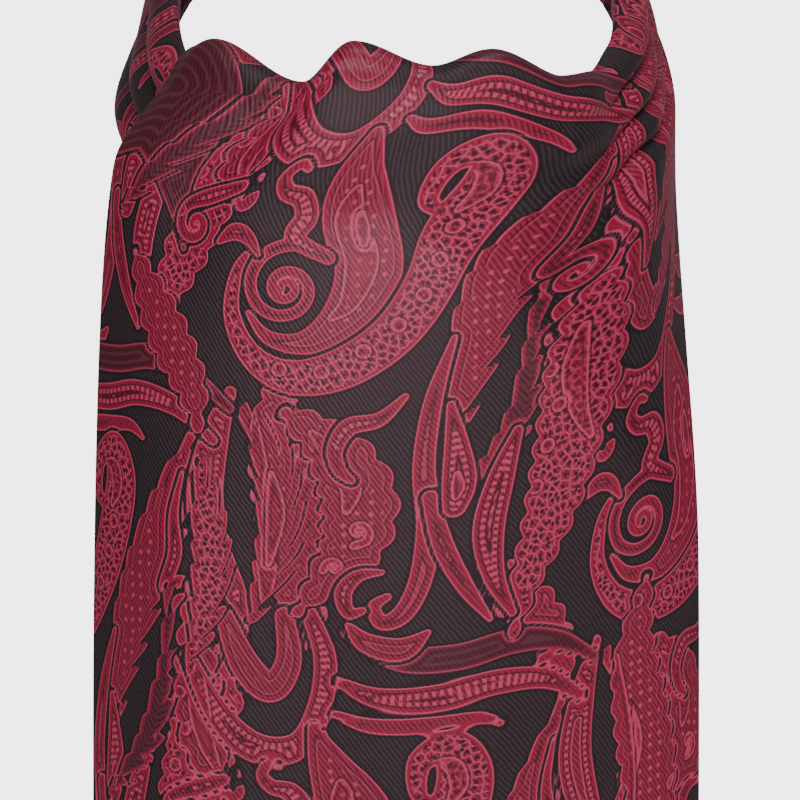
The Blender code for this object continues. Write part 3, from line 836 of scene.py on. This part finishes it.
def make_jacquard():
    inputs = {
        "Cloth": ("Vector", None),
        "Figure": ("Vector", None),
        "Thread": ("Vector", None),
        "Brightness": ("Float", 1.0),
    }
    outputs = {"Color": "Color", "Roughness": "Float", "Height": "Float"}
    tree, given, out = new_group("jacquard", inputs, outputs)
    weave = tree.nodes.new("ShaderNodeGroup")
    weave.node_tree = twill
    feed(tree, weave.inputs["Cloth"], given["Cloth"])
    rib, slub = Wire(tree, weave.outputs["Rib"]), Wire(tree, weave.outputs["Slub"])
    past, place, lateral = parts_of(tree, given["Figure"])
    thread, fill, reverse = parts_of(tree, given["Thread"])
    fills = [fill.math("COMPARE", float(number), 0.5) for number in range(5)]

    patchy = (rib * 0.75 + slub * 0.5).step(0.12, 1.0)
    ground = coat(tree, GROUND, GROUND_RIB, patchy * patchy)
    silk = coat(tree, FIGURE, FIGURE_RIB, patchy)
    inside = past.step(0.1, -0.1)
    deep = past.step(-0.75, -1.05)
    colour = coat(tree, ground, silk, inside)

    beads = past.line(-1.9, 0.5) * place.wave(1.7).step(0.35, 0.6) * fills[BEADED]
    colour = coat(tree, colour, SHADE, past.line(-1.15, 0.14) * fills[BEADED] * 0.8)
    colour = coat(tree, colour, PINK, beads * 0.9)
    colour = coat(tree, colour, SHADE, past.line(-2.75, 0.18) * fills[BEADED] * 0.8)
    colour = coat(tree, colour, PINK, past.line(-3.25, 0.22) * fills[BEADED] * 0.8)

    net = tree.nodes.new("ShaderNodeTexVoronoi")
    net.voronoi_dimensions, net.feature = "2D", "DISTANCE_TO_EDGE"
    eyes = tree.nodes.new("ShaderNodeTexVoronoi")
    eyes.voronoi_dimensions, eyes.feature = "2D", "F1"
    for texture in (net, eyes):
        feed(tree, texture.inputs["Vector"], given["Cloth"])
        texture.inputs["Scale"].default_value = 0.52
    mesh_line = Wire(tree, net.outputs["Distance"]).step(0.16, 0.07)
    eye = Wire(tree, eyes.outputs["Distance"]).step(0.30, 0.20)
    colour = coat(tree, colour, PINK, mesh_line * deep * fills[NET] * 0.75)
    colour = coat(tree, colour, SHADE, eye * deep * fills[NET] * 0.9)

    vein = (place + lateral.math("ABSOLUTE") * 0.9).wave(1.8).step(0.45, 0.75)
    colour = coat(tree, colour, LEAF, deep * fills[FEATHER] * 0.75)
    colour = coat(tree, colour, VEIN, vein * deep * fills[FEATHER] * 0.8)

    colour = coat(tree, colour, LEAF, past.step(0.0, -0.3) * fills[ARCS] * 0.75)
    arcs = past.wave(2.1, math.pi / 2).step(0.64, 0.86) * past.step(0.0, -0.1)
    colour = coat(tree, colour, VEIN, arcs * fills[ARCS] * 0.8)

    colour = coat(tree, colour, SHADE, past.line(-1.5, 0.13) * fills[TWILL] * 0.8)
    colour = coat(tree, colour, PINK, past.line(-1.9, 0.16) * fills[TWILL] * 0.5)
    dots = tree.nodes.new("ShaderNodeTexVoronoi")
    dots.voronoi_dimensions, dots.feature = "2D", "F1"
    dots.inputs["Randomness"].default_value = 0.25
    feed(tree, dots.inputs["Vector"], given["Cloth"])
    dots.inputs["Scale"].default_value = 0.36
    dot = Wire(tree, dots.outputs["Distance"]).step(0.24, 0.16) * past.step(-2.8, -3.2)
    colour = coat(tree, colour, PINK, dot * fills[TWILL] * 0.8)

    within = past.step(-0.6, -0.9)
    colour = coat(tree, colour, CRIMSON, within * thread.step(0.0, -0.2) * 0.35)
    colour = coat(tree, colour, PINK, within * thread.line(0.0, 0.22) * 0.9)
    colour = coat(tree, colour, SHADE, within * thread.line(0.5, 0.16) * 0.8)
    colour = coat(tree, colour, SHADE, within * thread.line(-0.9, 0.18) * 0.6)

    quiet = (fills[FEATHER] + fills[ARCS]).math("MULTIPLY_ADD", -0.45, 1.0)
    outline = past.line(-0.05, 0.17)
    beside = past.line(-0.48, 0.20)
    colour = coat(tree, colour, PINK, outline * quiet)
    colour = coat(tree, colour, CRIMSON, beside * quiet * 0.9)
    colour = coat(tree, colour, GROUND, past.line(0.55, 0.28) * past.step(0.0, 0.1))

    colour = coat(tree, colour, (0.060, 0.012, 0.022, 1), reverse * 0.7)
    bright = tree.nodes.new("ShaderNodeHueSaturation")
    feed(tree, bright.inputs["Value"], given["Brightness"])
    feed(tree, bright.inputs["Color"], colour)
    feed(tree, out.inputs["Color"], Wire(tree, bright.outputs[0]))
    rough = inside * -0.10 + outline * -0.06 + 0.50
    feed(tree, out.inputs["Roughness"], rough + slub * 0.08)
    height = rib * 0.05 + inside * 0.05 + outline * 0.05 + slub * 0.03
    feed(tree, out.inputs["Height"], height)
    return tree


jacquard = make_jacquard()
print("jacquard nodes:", len(jacquard.nodes))


# %% The silks
def silk_material(name, brightness):
    material = bpy.data.materials.new(name)
    material.use_nodes = True
    tree = material.node_tree
    shader = tree.nodes["Principled BSDF"]
    weave = tree.nodes.new("ShaderNodeGroup")
    weave.node_tree = jacquard
    weave.inputs["Brightness"].default_value = brightness
    for layer, socket in (("cloth", "Cloth"), ("figure", "Figure"), ("thread", "Thread")):
        reader = tree.nodes.new("ShaderNodeAttribute")
        reader.attribute_name = layer
        tree.links.new(reader.outputs["Vector"], weave.inputs[socket])
    bump = tree.nodes.new("ShaderNodeBump")
    bump.inputs["Distance"].default_value = 0.001
    tree.links.new(weave.outputs["Height"], bump.inputs["Height"])
    tree.links.new(bump.outputs["Normal"], shader.inputs["Normal"])
    tree.links.new(weave.outputs["Color"], shader.inputs["Base Color"])
    tree.links.new(weave.outputs["Roughness"], shader.inputs["Roughness"])
    shader.inputs["Specular Tint"].default_value = (1.0, 0.62, 0.72, 1)
    shader.inputs["Specular IOR Level"].default_value = 0.35
    shader.inputs["Sheen Weight"].default_value = 0.06
    shader.inputs["Sheen Roughness"].default_value = 0.35
    shader.inputs["Sheen Tint"].default_value = (1.0, 0.60, 0.70, 1)
    return material


silk = silk_material("silk", 1.0)
for piece in (front_blade, under_blade, crossing, *bands):
    piece.data.materials.append(silk)
    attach(piece, "root")
    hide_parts(piece.name.removesuffix("_silk"))


# %% The studio
FLOOR_LIFT = 4.0


def area_light(name, place, size, power, aim):
    bpy.ops.object.light_add(type="AREA", location=place)
    lamp = bpy.context.object
    lamp.name = name
    lamp.data.shape = "RECTANGLE"
    lamp.data.size, lamp.data.size_y = size
    lamp.data.energy = power
    lamp.rotation_euler = (Vector(aim) - Vector(place)).to_track_quat("-Z", "Y").to_euler()


area_light("key", (-0.20, -1.7, 0.45), (0.5, 0.5), 24, (0, -0.08, -0.06))
area_light("fill", (1.1, -0.9, 0.3), (0.9, 0.9), 5, (0, -0.06, -0.06))
area_light("top", (0.15, -0.25, 1.0), (0.6, 0.5), 6, (0, -0.02, 0))

bpy.ops.mesh.primitive_plane_add(size=60, location=(0, 0, -0.32))
floor = bpy.context.object
floor.name = "floor"
paper = bpy.data.materials.new("paper")
paper.use_nodes = True
tree = paper.node_tree
shader = tree.nodes["Principled BSDF"]
shader.inputs["Base Color"].default_value = (0.80, 0.80, 0.80, 1)
shader.inputs["Roughness"].default_value = 0.9
shader.inputs["Emission Color"].default_value = (1, 1, 1, 1)
seen = tree.nodes.new("ShaderNodeLightPath")
lift = Wire(tree, seen.outputs["Is Camera Ray"]) * FLOOR_LIFT
feed(tree, shader.inputs["Emission Strength"], lift)
floor.data.materials.append(paper)

world = bpy.data.worlds.new("soft_room")
world.use_nodes = True
world.node_tree.nodes["Background"].inputs["Color"].default_value = (0.80, 0.80, 0.80, 1)
world.node_tree.nodes["Background"].inputs["Strength"].default_value = 0.22
bpy.context.scene.world = world
